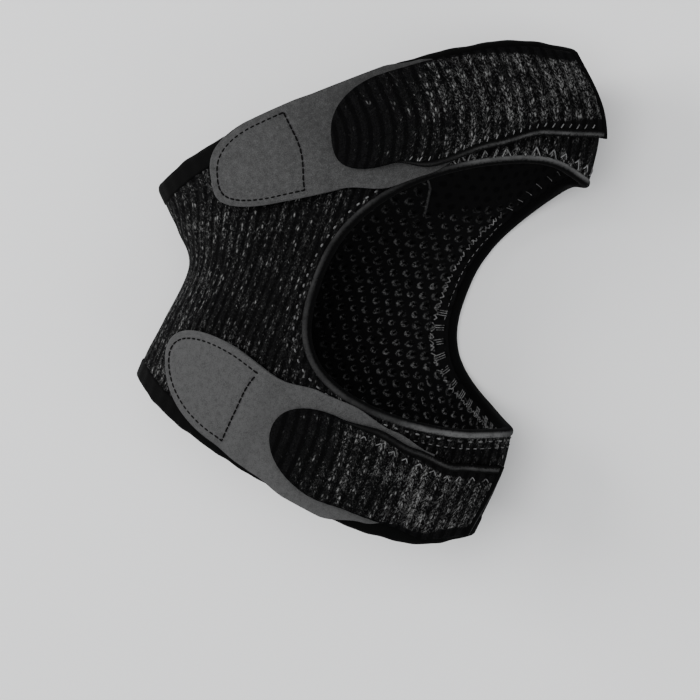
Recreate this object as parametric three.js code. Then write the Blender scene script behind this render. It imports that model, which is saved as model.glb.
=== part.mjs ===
// A dual patella strap for the knee: a knitted sleeve with an open kneecap and a
// mesh lining, and a knitted strap over the thigh loop and over the calf loop that
// a suede tab with a hook patch fastens. It lies closed on its far side.
// Millimetres. +Z is up off the table, +Y runs up the leg, and the kneecap opening
// faces +X.
import * as THREE from 'three';

// Overall form of the closed sleeve
const LOOP_WIDTH = 165; // from the back turn to the front fold of the thigh loop
const SLEEVE_HEIGHT = 183; // from the calf edge to the thigh edge at the front fold
const CROWN_HEIGHT = 62; // of the near wall over the table
const MIDLINE_TO_FOLD = 18; // from the front midline of the knee to the front fold

// Cloth layers and the clearance between them
const SHELL_THICKNESS = 1.6;
const LINING_THICKNESS = 1.6;
const STRAP_THICKNESS = 2.4;
const TAB_THICKNESS = 1.3;
const HOOK_THICKNESS = 1;
const CLEARANCE = 0.3;
const CURVED_CLEARANCE = 0.5; // between bent layers, whose facets come closer

// Kneecap opening, an oval a little squarer than an ellipse, measured on the cloth
const OPENING_WIDTH = 144;
const OPENING_HEIGHT = 102;
const OPENING_FROM_CALF = 46.5;
const OPENING_SHIFT = 1.5; // of its middle from the front midline, on to the near wall
const OPENING_SQUARENESS = 2.55; // 2 would be an ellipse
const OPENING_DIP = 7.5; // of its upper edge at the front fold
const OPENING_DIP_REACH = 12; // along the edge, to each side of the fold

// Bindings: smooth tape rolled over the cut edges
const OPENING_BINDING_WIDTH = 3.4;
const RIM_WIDTH = 8.5;
const STRAP_BINDING_WIDTH = 3;
const END_TAPE_WIDTH = 2.4;
const PROUD = 0.5; // how far a binding stands over the cloth that it holds
const TAPE_ROUNDING = 1; // of a tape's folded edge, on each face

// Straps and tabs. A reach is measured on the cloth from the front midline.
const STRAP_LEAVES_FORM = 4; // before the fold, from where the strap runs straight on
const STRAP_ROUNDING = 24; // length of a strap's rounded end
const UPPER_STRAP_PAST_FOLD = 0.6; // its sewn end, at the kneecap side
const UPPER_STRAP_SLANT = 4.4; // of the sewn end, back from the fold at its outer edge
const UPPER_STRAP_REACH = 84;
const UPPER_STRAP_WIDTH = 40;
const LOWER_STRAP_PAST_FOLD = -3.4;
const LOWER_STRAP_SLANT = 2.8;
const LOWER_STRAP_REACH = 73;
const LOWER_STRAP_WIDTH = 35;
const TAB_ROUNDING = 32;
const TAB_UNDER_STRAP = 60; // length of tab that the strap covers
const UPPER_TAB_REACH = 133.5;
const UPPER_TAB_WIDTH = 46;
const UPPER_TAB_END_SLANT = 20; // its rounded end reaches further at its outer edge
const LOWER_TAB_REACH = 125.4;
const LOWER_TAB_WIDTH = 46;
const LOWER_TAB_END_SLANT = 0;
const HOOK_LENGTH = 33;
const HOOK_INSET = 3.2; // of the hook patch from the tab's edge
const HOOK_SIDE_SLANT = 8; // of its straight side, back at its kneecap end

// Heights of the layers over the sleeve's outer face
const LINING_TOP = -SHELL_THICKNESS - CURVED_CLEARANCE;
const WALL_BOTTOM = LINING_TOP - LINING_THICKNESS;
const OVER_RIM = PROUD + CLEARANCE;
const OVER_HOOK = OVER_RIM + HOOK_THICKNESS + CURVED_CLEARANCE;
const OVER_TAB = OVER_RIM + TAB_THICKNESS + CURVED_CLEARANCE;
const RISE_LENGTH = 8; // over which a layer climbs onto the one below
const RISE_MARGIN = 5; // from the end of the climb to the layer below

// Stations up the leg. The back turn and the front fold are placed as shares of
// LOOP_WIDTH and SLEEVE_HEIGHT, the crown as a share of CROWN_HEIGHT, and lean, a
// share of SLEEVE_HEIGHT, is how far the walls lie up and down the leg.
const STATIONS = [
  { at: 'calf edge', backX: -0.582, backY: -0.175, foldX: 0.236, foldY: -0.497, crown: 0.92, lean: -0.065 },
  { at: 'calf strap', backX: -0.548, backY: -0.115, foldX: 0.307, foldY: -0.364, crown: 0.95, lean: -0.038 },
  { at: 'below knee', backX: -0.506, backY: -0.055, foldX: 0.345, foldY: -0.236, crown: 0.98, lean: -0.022 },
  { at: 'kneecap', backX: -0.439, backY: 0.06, foldX: 0.433, foldY: -0.011, crown: 1, lean: 0 },
  { at: 'above knee', backX: -0.467, backY: 0.134, foldX: 0.506, foldY: 0.214, crown: 1, lean: 0.027 },
  { at: 'thigh strap', backX: -0.494, backY: 0.18, foldX: 0.533, foldY: 0.355, crown: 0.985, lean: 0.041 },
  { at: 'thigh edge', backX: -0.524, backY: 0.232, foldX: 0.476, foldY: 0.5, crown: 0.97, lean: 0.056 },
];

// The closed loop at each station, from the back turn over the near wall to the
// front fold, and back along the far wall on the table. along is a share of the
// way to the fold, rise of the crown and side of the lean.
const LOOP = [
  { along: 0, rise: 0.42, side: 0 },
  { along: 0.03, rise: 0.7, side: 0 },
  { along: 0.15, rise: 0.9, side: 0.45 },
  { along: 0.33, rise: 0.99, side: 0.8 },
  { along: 0.52, rise: 1, side: 1 },
  { along: 0.7, rise: 0.93, side: 1.1 },
  { along: 0.87, rise: 0.74, side: 0.85 },
  { along: 0.97, rise: 0.56, side: 0.25 },
  { along: 1, rise: 0.45, side: 0 },
  { along: 0.97, rise: 0.33, side: -0.15 },
  { along: 0.88, rise: 0.12, side: -0.5 },
  { along: 0.75, rise: 0, side: -0.8 },
  { along: 0.5, rise: 0, side: -1 },
  { along: 0.25, rise: 0, side: -0.8 },
  { along: 0.08, rise: 0.08, side: -0.4 },
];

// Outlines of the straps and tabs. place is a share of the way to the rounded end,
// inset, a share of RIM_WIDTH, is how far the outer edge lies from the sleeve's
// edge, and width is a share of the piece's own width.
const UPPER_STRAP_OUTLINE = [
  { place: 0, inset: 0.48, width: 0.8 },
  { place: 0.3, inset: 0.5, width: 0.84 },
  { place: 0.55, inset: 0.52, width: 0.9 },
  { place: 0.8, inset: 0.47, width: 0.99 },
  { place: 1, inset: 0.41, width: 0.9 },
];
const LOWER_STRAP_OUTLINE = [
  { place: 0, inset: 0.42, width: 0.8 },
  { place: 0.3, inset: 0.54, width: 0.86 },
  { place: 0.55, inset: 0.85, width: 0.87 },
  { place: 0.8, inset: 0.88, width: 0.95 },
  { place: 1, inset: 0.73, width: 0.98 },
];
const UPPER_TAB_OUTLINE = [
  { place: 0, inset: 0.94, width: 0.62 },
  { place: 0.28, inset: 0.26, width: 0.94 },
  { place: 0.43, inset: 0.04, width: 1 },
  { place: 0.7, inset: 0.04, width: 0.87 },
  { place: 1, inset: 0.04, width: 0.82 },
];
const LOWER_TAB_OUTLINE = [
  { place: 0, inset: 1.3, width: 0.56 },
  { place: 0.2, inset: 0.55, width: 0.79 },
  { place: 0.4, inset: 0.04, width: 0.95 },
  { place: 0.57, inset: 0.04, width: 0.93 },
  { place: 0.75, inset: 0.3, width: 0.82 },
  { place: 1, inset: 0.6, width: 0.8 },
];

// How the columns of the sleeve's grid are spread over its upper and lower bands.
// They run from the opening to the sleeve's edge, and both places are shares of
// the way from the front fold, negative over the far wall.
const BAND_END = 0.72; // share of the way from the fold to the back line
const BAND_ZONES = [
  { opening: -1, edge: -BAND_END },
  { opening: -0.8, edge: -0.6, columns: 2 },
  { opening: -0.2, edge: -0.07, columns: 6 },
  { opening: 0.12, edge: 0.06, columns: 8 },
  { opening: 0.78, edge: 0.5, columns: 6 },
  { opening: 1, edge: BAND_END, columns: 2 },
];
const BAND_CORNER = 0.82; // share of the opening's half width at which a band starts
const CORNER_COLUMNS = 5; // from a band to the back line, at each edge of the sleeve
const BACK_COLUMNS = 4; // down the back line, on each side
const SLEEVE_RINGS = 9;
const COLUMN_BEND = 1.9; // over 1 bends the columns so that they meet the edges squarely
const TAPE_RINGS = [0, 0.12, 1]; // shares of a tape's width, from its folded edge
const TONGUE_STEPS = { columns: 20, rows: 6 }; // of a strap, a tab or a hook patch
const CURVE_STEPS = 16; // between two points of a loop
const HEIGHT_STEPS = 24; // along a line up the leg

const FOLD = -MIDLINE_TO_FOLD;
const LOOP_FOLD = LOOP.findIndex((row) => row.along === 1);
const { clamp, euclideanModulo, lerp, smoothstep } = THREE.MathUtils;

// Form of the sleeve

// A Catmull-Rom blend from b to c.
function blend(a, b, c, d, t) {
  return 0.5 * (2 * b + (c - a) * t + (2 * a - 5 * b + 4 * c - d) * t ** 2 + (3 * b - a - 3 * c + d) * t ** 3);
}

// The station at a share of the sleeve's height, smooth through the table's rows.
function stationAt(share) {
  const last = STATIONS.length - 1;
  const i = clamp(Math.floor(share * last), 0, last - 1);
  const [here, next] = [STATIONS[i], STATIONS[i + 1]];
  const column = (key) => {
    const before = i > 0 ? STATIONS[i - 1][key] : 2 * here[key] - next[key];
    const after = i < last - 1 ? STATIONS[i + 2][key] : 2 * next[key] - here[key];
    return blend(before, here[key], next[key], after, share * last - i);
  };
  const { at, ...numbers } = here;
  return Object.fromEntries(Object.keys(numbers).map((key) => [key, column(key)]));
}

// The closed curve of the sleeve's outer face at a share of its height.
const sections = new Map();
function sectionAt(share) {
  const key = share.toFixed(6);
  if (!sections.has(key)) {
    const station = stationAt(share);
    const curve = new THREE.CatmullRomCurve3(LOOP.map(({ along, rise, side }) => new THREE.Vector3(
      LOOP_WIDTH * lerp(station.backX, station.foldX, along),
      SLEEVE_HEIGHT * (lerp(station.backY, station.foldY, along) + station.lean * side),
      CROWN_HEIGHT * station.crown * rise,
    )), true, 'catmullrom');
    curve.arcLengthDivisions = LOOP.length * CURVE_STEPS;
    sections.set(key, { curve, girth: curve.getLength(), fold: curve.getLengths()[LOOP_FOLD * CURVE_STEPS] });
  }
  return sections.get(key);
}

const halfGirth = (share) => sectionAt(share).girth / 2;

// Cloth that would dip into the table is pressed flat on it.
function pressed(point) {
  return point.setZ(Math.max(point.z, 0));
}

// A point on the form at a flat place. w is the distance round the leg from the
// front midline, positive over the near wall and negative round the fold.
function onForm({ w, share }) {
  const { curve, girth, fold } = sectionAt(share);
  return pressed(curve.getPointAt(euclideanModulo(fold - MIDLINE_TO_FOLD - w, girth) / girth));
}

// The form's point, outward normal and directions round and up the leg.
const ROUND_STEP = 0.5;
const UP_STEP = 0.004;
function frameAt({ w, share }) {
  const round = onForm({ w: w + ROUND_STEP, share }).sub(onForm({ w: w - ROUND_STEP, share })).normalize();
  const up = onForm({ w, share: share + UP_STEP }).sub(onForm({ w, share: share - UP_STEP }));
  return { point: onForm({ w, share }), round, up, normal: up.clone().cross(round).normalize() };
}

// A point of cloth that lies offset over the form. Short of leaves it has left the
// form and runs straight on.
function laid({ w, share }, offset, leaves = -Infinity) {
  const { point, round, normal } = frameAt({ w: Math.max(w, leaves), share });
  point.addScaledVector(normal, offset);
  return pressed(point.addScaledVector(round, Math.min(w - leaves, 0)));
}

// Where a share of the way from the fold to the back line lies.
function fromFold(part, reach) {
  return FOLD + part * (part < 0 ? reach + FOLD : reach - FOLD);
}

// The share of height that lies a distance in from the calf edge (side -1) or the
// thigh edge (side 1), along a line up the leg that keeps its w or its part.
const heightLines = new Map();
function shareIn({ w, part }, side, distance) {
  const key = `${w?.toFixed(4)} ${part?.toFixed(6)}`;
  if (!heightLines.has(key)) {
    const points = Array.from({ length: HEIGHT_STEPS + 1 }, (_, i) => {
      const share = i / HEIGHT_STEPS;
      return onForm({ w: w ?? fromFold(part, halfGirth(share)), share });
    });
    const lengths = [0];
    points.slice(1).forEach((point, i) => lengths.push(lengths[i] + point.distanceTo(points[i])));
    heightLines.set(key, lengths);
  }
  const lengths = heightLines.get(key);
  const up = side < 0 ? distance : lengths[HEIGHT_STEPS] - distance;
  const i = clamp(lengths.findIndex((length) => length >= up), 1, HEIGHT_STEPS);
  return (i - (lengths[i] - up) / (lengths[i] - lengths[i - 1])) / HEIGHT_STEPS;
}

// Cloth pieces from flat patterns

// A flat grid of places with its quads, closed on itself along i where looped.
function gridPatch(columns, rows, placeAt, { looped = false } = {}) {
  const across = looped ? columns : columns + 1;
  const places = [];
  const quads = [];
  for (let i = 0; i < across; i++) {
    for (let j = 0; j <= rows; j++) places.push(placeAt(i, j));
  }
  for (let i = 0; i < columns; i++) {
    for (let j = 0; j < rows; j++) {
      const a = i * (rows + 1) + j;
      const b = ((i + 1) % across) * (rows + 1) + j;
      quads.push([a, a + 1, b + 1, b]);
    }
  }
  return { places, quads };
}

function geometryFrom(points, triangles) {
  const geometry = new THREE.BufferGeometry();
  geometry.setAttribute('position', new THREE.Float32BufferAttribute(points.flatMap((p) => p.toArray()), 3));
  geometry.setIndex(triangles.flat());
  geometry.computeVertexNormals();
  return geometry;
}

// Places on the back line are reached from both sides and become one.
function placeName({ w, share }) {
  const onBackLine = Math.abs(w) > halfGirth(share) - CLEARANCE / 10;
  return `${onBackLine ? 'back' : w.toFixed(4)} ${share.toFixed(4)}`;
}

// A patch laid twice over the form, at its under and over offsets, with its free
// edges closed. Its quads run from low to high shares, then towards the fold.
function clothGeometry({ places, quads }, under, over, leaves) {
  const ids = new Map();
  const kept = [];
  const idOf = places.map((place) => {
    const name = placeName(place);
    if (!ids.has(name)) ids.set(name, kept.push(place) - 1);
    return ids.get(name);
  });
  const points = [over, under].flatMap((offset) => kept.map((place) => laid(place, offset(place), leaves)));
  const below = kept.length;
  const triangles = [];
  const free = new Map();
  for (const quad of quads) {
    const [a, b, c, d] = quad.map((k) => idOf[k]);
    triangles.push([a, b, c], [a, c, d], [below + c, below + b, below + a], [below + d, below + c, below + a]);
    for (const [p, q] of [[a, b], [b, c], [c, d], [d, a]]) {
      if (!free.delete(`${q} ${p}`)) free.set(`${p} ${q}`, [p, q]);
    }
  }
  for (const [p, q] of free.values()) triangles.push([q, p, below + p], [q, below + p, below + q]);
  return geometryFrom(points, triangles);
}

// A rolled edge: a rounded section carried round a ring of places. The cloth that
// it holds lies to the left of them, seen from outside.
function rollGeometry(places, width, bottom, top) {
  const round = 0.3 * Math.min(width, top - bottom);
  const section = [
    [0, bottom + round], [0, top - round], [round, top],
    [width, top - round / 2], [width, bottom + round / 2], [round, bottom],
  ];
  const path = places.map((place) => laid(place, 0));
  const count = path.length;
  const points = path.flatMap((point, i) => {
    const along = path[(i + 1) % count].clone().sub(path.at(i - 1));
    const { normal } = frameAt(places[i]);
    const inward = normal.clone().cross(along).normalize();
    return section.map(([x, y]) => pressed(point.clone().addScaledVector(inward, x).addScaledVector(normal, y)));
  });
  const n = section.length;
  const triangles = [];
  for (let i = 0; i < count; i++) {
    const next = (i + 1) % count;
    for (let k = 0; k < n; k++) {
      const [a, b] = [i * n + k, i * n + (k + 1) % n];
      const [c, d] = [next * n + (k + 1) % n, next * n + k];
      triangles.push([a, c, b], [a, d, c]);
    }
  }
  return geometryFrom(points, triangles);
}

// The sleeve's flat pattern: a ring of columns round the kneecap opening

const openingLow = shareIn({ w: 0 }, -1, OPENING_FROM_CALF);
const openingHigh = shareIn({ w: 0 }, -1, OPENING_FROM_CALF + OPENING_HEIGHT);
const openingMiddle = (openingLow + openingHigh) / 2;
const openingHalf = (openingHigh - openingLow) / 2;
const bandCorner = BAND_CORNER * OPENING_WIDTH / 2;

// One minus the shares' superellipse partner: across for up, and up for across.
const ovalPartner = (reach) => (1 - Math.abs(reach) ** OPENING_SQUARENESS) ** (1 / OPENING_SQUARENESS);

// The band's places as shares, from the far side over the fold to the near side.
const bandParts = BAND_ZONES.slice(1).flatMap((zone, k) => Array.from({ length: zone.columns }, (_, i) => ({
  opening: lerp(BAND_ZONES[k].opening, zone.opening, i / zone.columns),
  edge: lerp(BAND_ZONES[k].edge, zone.edge, i / zone.columns),
})));
bandParts.push(BAND_ZONES.at(-1));

// A place a distance in from the sleeve's edge.
function edgePlace(part, side, distance) {
  const share = shareIn({ part }, side, distance);
  return { w: fromFold(part, halfGirth(share)), share };
}

const clothEdge = (part, side) => edgePlace(part, side, RIM_WIDTH + CURVED_CLEARANCE);

// The opening's upper edge dips where it passes the front fold.
const dipAt = (w) => 2 * openingHalf * OPENING_DIP / OPENING_HEIGHT * Math.exp(-(((w - FOLD) / OPENING_DIP_REACH) ** 2));

function bandColumn({ opening, edge }, side) {
  const across = fromFold(opening, bandCorner);
  const w = across + OPENING_SHIFT;
  const dip = side > 0 ? dipAt(w) : 0;
  const share = openingMiddle + side * openingHalf * ovalPartner(2 * across / OPENING_WIDTH) - dip;
  return { inner: { w, share }, outer: clothEdge(edge, side) };
}

// Columns from one end of the opening (side) to the sleeve's back. turn runs from
// the thigh edge, over 1 to -1 on the back line, to the calf edge.
const endTurn = 1 + 2 * CORNER_COLUMNS / BACK_COLUMNS;
function backColumn(turn, side) {
  const up = ovalPartner(BAND_CORNER) * Math.sin(turn / endTurn * Math.PI / 2);
  const w = OPENING_SHIFT + side * ovalPartner(up) * OPENING_WIDTH / 2;
  const inner = { w, share: openingMiddle + up * openingHalf };
  const pastCorner = (Math.abs(turn) - 1) / (endTurn - 1);
  if (pastCorner > 0) return { inner, outer: clothEdge(side * lerp(1, BAND_END, pastCorner), Math.sign(turn)) };
  const share = lerp(clothEdge(side, -1).share, clothEdge(side, 1).share, (1 + turn) / 2);
  return { inner, outer: { w: side * halfGirth(share), share } };
}

const backTurns = Array.from({ length: BACK_COLUMNS + 2 * CORNER_COLUMNS }, (_, i) => endTurn - 2 * i / BACK_COLUMNS);
const sleeveColumns = [
  ...bandParts.slice(0, -1).map((part) => bandColumn(part, 1)),
  ...backTurns.map((turn) => backColumn(turn, 1)),
  ...bandParts.slice(1).reverse().map((part) => bandColumn(part, -1)),
  ...backTurns.map((turn) => backColumn(-turn, -1)),
];
const openingEdge = sleeveColumns.map((column) => column.inner).reverse();

// The place on a column that leaves room for the binding round the opening.
const COLUMN_STEP = 0.02;
function besideBinding({ inner, outer }, i, columns) {
  const before = laid(columns.at(i - 1).inner, 0);
  const after = laid(columns[(i + 1) % columns.length].inner, 0);
  const along = after.sub(before).normalize();
  const between = (t) => ({ w: lerp(inner.w, outer.w, t), share: lerp(inner.share, outer.share, t) });
  const step = laid(between(COLUMN_STEP), 0).sub(laid(inner, 0));
  const reach = step.addScaledVector(along, -step.dot(along)).length();
  return between(COLUMN_STEP * (OPENING_BINDING_WIDTH + CURVED_CLEARANCE) / reach);
}

const sleeveStarts = sleeveColumns.map(besideBinding);
const partOf = ({ w, share }) => (w - FOLD) / (halfGirth(share) + Math.sign(w - FOLD) * MIDLINE_TO_FOLD);
const sleevePatch = gridPatch(sleeveColumns.length, SLEEVE_RINGS, (i, j) => {
  const [start, end] = [sleeveStarts[i], sleeveColumns[i].outer];
  const t = j / SLEEVE_RINGS;
  const share = lerp(start.share, end.share, t);
  const part = lerp(partOf(start), partOf(end), 1 - (1 - t) ** COLUMN_BEND);
  return { w: fromFold(part, halfGirth(share)), share };
}, { looped: true });

// A tape's grid runs along an edge, and its rings lie in from it. placeAt takes a
// number along the edge and a share of the tape's width.
function tapePatch(columns, placeAt, options) {
  return gridPatch(columns, TAPE_RINGS.length - 1, (i, j) => ({ ...placeAt(i, TAPE_RINGS[j]), ring: j }), options);
}

// A tape is thinner at its first ring, where it turns over the edge.
const folded = (offset, face) => (place) => offset(place) - (place.ring === 0 ? face * TAPE_ROUNDING : 0);

function rimPatch(side) {
  const corners = Array.from({ length: 2 * CORNER_COLUMNS - 1 }, (_, i) => {
    const part = lerp(BAND_END, 1, (i + 1) / CORNER_COLUMNS);
    return part > 1 ? part - 2 : part;
  });
  const parts = [...bandParts.map(({ edge }) => edge), ...corners];
  if (side > 0) parts.reverse();
  return tapePatch(parts.length, (i, ring) => edgePlace(parts[i], side, RIM_WIDTH * ring), { looped: true });
}

// Straps, tabs and hook patches

const always = (value) => () => value;

function strapOf(side, { pastFold, slant, reach, width, outline }) {
  return { side, from: FOLD - pastFold, slant, reach, rounding: STRAP_ROUNDING, endSlant: 0, width, outline };
}

function tabOf(side, { reach, endSlant, width, outline }, strap) {
  const from = strap.reach - TAB_UNDER_STRAP;
  return { side, from, slant: 0, reach, rounding: TAB_ROUNDING, endSlant, width, outline };
}

// The outer and inner edges of a strap or tab at w, in from the sleeve's edge.
function edgesAt({ from, reach, rounding, width, outline }, w) {
  const place = clamp((w - from) / (reach - rounding - from), 0, 1);
  const k = Math.max(1, outline.findIndex((row) => row.place >= place));
  const [row, next] = [outline[k - 1], outline[k]];
  const t = smoothstep(place, row.place, next.place);
  const outer = RIM_WIDTH * lerp(row.inset, next.inset, t);
  return { outer, inner: outer + width * lerp(row.width, next.width, t) };
}

// How far a strap's slanted end lies back, a distance in from its kneecap edge.
function slantAt(piece, inset) {
  const { outer, inner } = edgesAt(piece, piece.from);
  return piece.slant * inset / (inner - outer);
}

// How far back the hook patch's straight side lies, at a share of the tab's width
// from its kneecap edge.
const hookSideBack = (outward) => HOOK_SIDE_SLANT * (1 - outward) ** 3;

// A piece's places between its edges from w = start to its rounded end. The insets
// hold it back from the piece's outer and inner edges and from its end, and
// sideBack gives how far back it starts.
function tonguePatch(piece, { start = piece.from, sideBack = always(0), outerInset = 0, innerInset = 0, endInset = 0 }) {
  const { columns, rows } = TONGUE_STEPS;
  const rounding = piece.rounding - endInset;
  const outwardAt = (w, outward) => {
    const { outer, inner } = edgesAt(piece, w);
    return lerp(innerInset, inner - outer - outerInset, outward) / (inner - outer);
  };
  return gridPatch(columns, rows, (i, j) => {
    const turn = piece.side * lerp(-Math.PI / 2, Math.PI / 2, j / rows);
    const outward = (1 + Math.sin(turn)) / 2;
    const [atStart, atEnd] = [piece.from, piece.reach].map((w) => outwardAt(w, outward));
    const first = start + piece.slant * atStart - sideBack(atEnd);
    const last = piece.reach - endInset - rounding * (1 - Math.cos(turn)) + piece.endSlant * (atEnd - 0.5);
    const w = lerp(first, last, i / columns);
    const { outer, inner } = edgesAt(piece, w);
    const across = lerp(inner - innerInset, outer + outerInset, outward);
    return { w, share: shareIn({ w }, piece.side, across), outward };
  });
}

// Materials and nodes

const strap = new THREE.Group();
function add(name, geometry, color, roughness) {
  const piece = new THREE.Mesh(geometry, new THREE.MeshStandardMaterial({ color, roughness, metalness: 0 }));
  piece.name = name;
  strap.add(piece);
}

const KNIT = [0x171717, 0.95];
const MESH = [0x0e0e0e, 0.9];
const TAPE = [0x2b2b2b, 0.85];
const RIM_TAPE = [0x101010, 0.8];
const SUEDE = [0x4a4a4a, 0.9];
const HOOK = [0x080808, 0.7];

add('knit_shell', clothGeometry(sleevePatch, always(-SHELL_THICKNESS), always(0)), ...KNIT);
add('mesh_lining', clothGeometry(sleevePatch, always(WALL_BOTTOM), always(LINING_TOP)), ...MESH);
const bindingBottom = WALL_BOTTOM - PROUD;
add('opening_binding', rollGeometry(openingEdge, OPENING_BINDING_WIDTH, bindingBottom, PROUD), ...TAPE);
for (const [name, side] of [['thigh_rim', 1], ['calf_rim', -1]]) {
  const rim = clothGeometry(rimPatch(side), folded(always(bindingBottom), -1), folded(always(PROUD), 1));
  add(name, rim, ...RIM_TAPE);
}

function addStrap(level, strapPiece, tabPiece) {
  const leaves = FOLD + STRAP_LEAVES_FORM;
  const { side, from, reach } = strapPiece;
  const hookStart = tabPiece.reach - HOOK_INSET - HOOK_LENGTH;
  const climb = (w, to) => smoothstep(w, to - RISE_MARGIN - RISE_LENGTH, to - RISE_MARGIN);
  const strapBottom = ({ w }) => lerp(OVER_RIM, OVER_TAB, climb(w, tabPiece.from));
  const strapTop = (place) => strapBottom(place) + STRAP_THICKNESS;
  const tabBottom = ({ w, outward }) => lerp(OVER_RIM, OVER_HOOK, climb(w + hookSideBack(outward), hookStart));
  const tabTop = (place) => tabBottom(place) + TAB_THICKNESS;
  const tapeTop = (place) => strapTop(place) + PROUD;
  const start = from + END_TAPE_WIDTH + CLEARANCE;
  const knit = tonguePatch(strapPiece, { start, innerInset: STRAP_BINDING_WIDTH + CLEARANCE });
  add(`${level}_strap`, clothGeometry(knit, strapBottom, strapTop, leaves), ...KNIT);

  const addTape = (name, columns, placeAt) => {
    const patch = tapePatch(columns, placeAt);
    add(`${level}_${name}`, clothGeometry(patch, folded(strapBottom, -1), folded(tapeTop, 1), leaves), ...TAPE);
  };
  // The grid of a tape on the upper strap runs away from the fold, on the lower
  // strap towards it, and across the end it is the other way round.
  const along = (t) => (side > 0 ? t : 1 - t);
  addTape('strap_binding', TONGUE_STEPS.columns, (i, ring) => {
    const inset = STRAP_BINDING_WIDTH * ring;
    const w = lerp(start + slantAt(strapPiece, inset), reach - STRAP_ROUNDING, along(i / TONGUE_STEPS.columns));
    return { w, share: shareIn({ w }, side, edgesAt(strapPiece, w).inner - inset) };
  });
  addTape('end_tape', TONGUE_STEPS.rows, (i, ring) => {
    const inward = along(i / TONGUE_STEPS.rows);
    const w = from + strapPiece.slant * (1 - inward) + END_TAPE_WIDTH * ring;
    const { outer, inner } = edgesAt(strapPiece, w);
    return { w, share: shareIn({ w }, side, lerp(outer, inner, inward)) };
  });

  add(`${level}_tab`, clothGeometry(tonguePatch(tabPiece, {}), tabBottom, tabTop), ...SUEDE);
  const patch = tonguePatch(tabPiece, {
    start: hookStart,
    sideBack: hookSideBack,
    outerInset: HOOK_INSET,
    innerInset: HOOK_INSET,
    endInset: HOOK_INSET,
  });
  const hookTop = OVER_RIM + HOOK_THICKNESS;
  add(`${level}_hook_patch`, clothGeometry(patch, always(OVER_RIM), always(hookTop)), ...HOOK);
}

const upperStrap = strapOf(1, {
  pastFold: UPPER_STRAP_PAST_FOLD,
  slant: UPPER_STRAP_SLANT,
  reach: UPPER_STRAP_REACH,
  width: UPPER_STRAP_WIDTH,
  outline: UPPER_STRAP_OUTLINE,
});
const lowerStrap = strapOf(-1, {
  pastFold: LOWER_STRAP_PAST_FOLD,
  slant: LOWER_STRAP_SLANT,
  reach: LOWER_STRAP_REACH,
  width: LOWER_STRAP_WIDTH,
  outline: LOWER_STRAP_OUTLINE,
});
const upperTab = {
  reach: UPPER_TAB_REACH,
  endSlant: UPPER_TAB_END_SLANT,
  width: UPPER_TAB_WIDTH,
  outline: UPPER_TAB_OUTLINE,
};
const lowerTab = {
  reach: LOWER_TAB_REACH,
  endSlant: LOWER_TAB_END_SLANT,
  width: LOWER_TAB_WIDTH,
  outline: LOWER_TAB_OUTLINE,
};
addStrap('upper', upperStrap, tabOf(1, upperTab, upperStrap));
addStrap('lower', lowerStrap, tabOf(-1, lowerTab, lowerStrap));

// The middle of the footprint lies over the origin.
const middle = new THREE.Box3().setFromObject(strap).getCenter(new THREE.Vector3());
strap.position.set(-middle.x, -middle.y, 0);

export default strap;
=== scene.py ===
"""A dual patella strap lying closed on its far side, dressed over its CAD frame.

The straps, tabs, bindings and both layers of the sleeve follow one form, the
closed sleeve, which is worked out from the same tables as the CAD model.
"""
import math

import bmesh
import bpy
import numpy as np
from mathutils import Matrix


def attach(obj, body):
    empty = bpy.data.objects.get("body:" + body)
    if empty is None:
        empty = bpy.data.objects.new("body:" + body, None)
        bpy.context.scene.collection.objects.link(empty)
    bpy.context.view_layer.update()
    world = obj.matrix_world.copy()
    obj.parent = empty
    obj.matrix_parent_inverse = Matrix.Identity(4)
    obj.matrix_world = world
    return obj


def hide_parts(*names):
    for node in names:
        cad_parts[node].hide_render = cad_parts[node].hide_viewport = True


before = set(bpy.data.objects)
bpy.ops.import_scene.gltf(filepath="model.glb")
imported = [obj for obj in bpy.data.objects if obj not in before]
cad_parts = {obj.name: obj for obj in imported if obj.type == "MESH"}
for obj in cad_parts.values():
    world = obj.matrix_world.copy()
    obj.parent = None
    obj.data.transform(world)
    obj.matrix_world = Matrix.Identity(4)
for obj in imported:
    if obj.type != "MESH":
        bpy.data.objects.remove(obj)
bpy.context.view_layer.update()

# Camera
# It looks down on the strap from 18 degrees to the right of straight above, with
# the leg's direction (+Y) up the picture.

PICTURE_PX = 700
VIEW_TILT = math.radians(18)
VIEW_DISTANCE = 0.8
FOCAL_PX = 2105
TARGET = (0.0021, -0.00027, 0.030)
TARGET_FROM_CENTRE_PX = (20, 55)
SENSOR_WIDTH = 36

bpy.ops.object.camera_add(
    location=(
        TARGET[0] + VIEW_DISTANCE * math.sin(VIEW_TILT),
        TARGET[1],
        TARGET[2] + VIEW_DISTANCE * math.cos(VIEW_TILT),
    ),
    rotation=(0, VIEW_TILT, 0),
)
camera = bpy.context.object
camera.name = "camera"
camera.data.sensor_width = SENSOR_WIDTH
camera.data.lens = SENSOR_WIDTH * FOCAL_PX / PICTURE_PX
camera.data.shift_x = -TARGET_FROM_CENTRE_PX[0] / PICTURE_PX
camera.data.shift_y = -TARGET_FROM_CENTRE_PX[1] / PICTURE_PX
camera.data.clip_start = 0.01
camera.data.clip_end = 20
bpy.context.scene.camera = camera

# Floor and studio light
# A plain pale floor, a large soft light overhead, one low along the ribs from the
# left that brings up the knit, and a weak one from the right.


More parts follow.
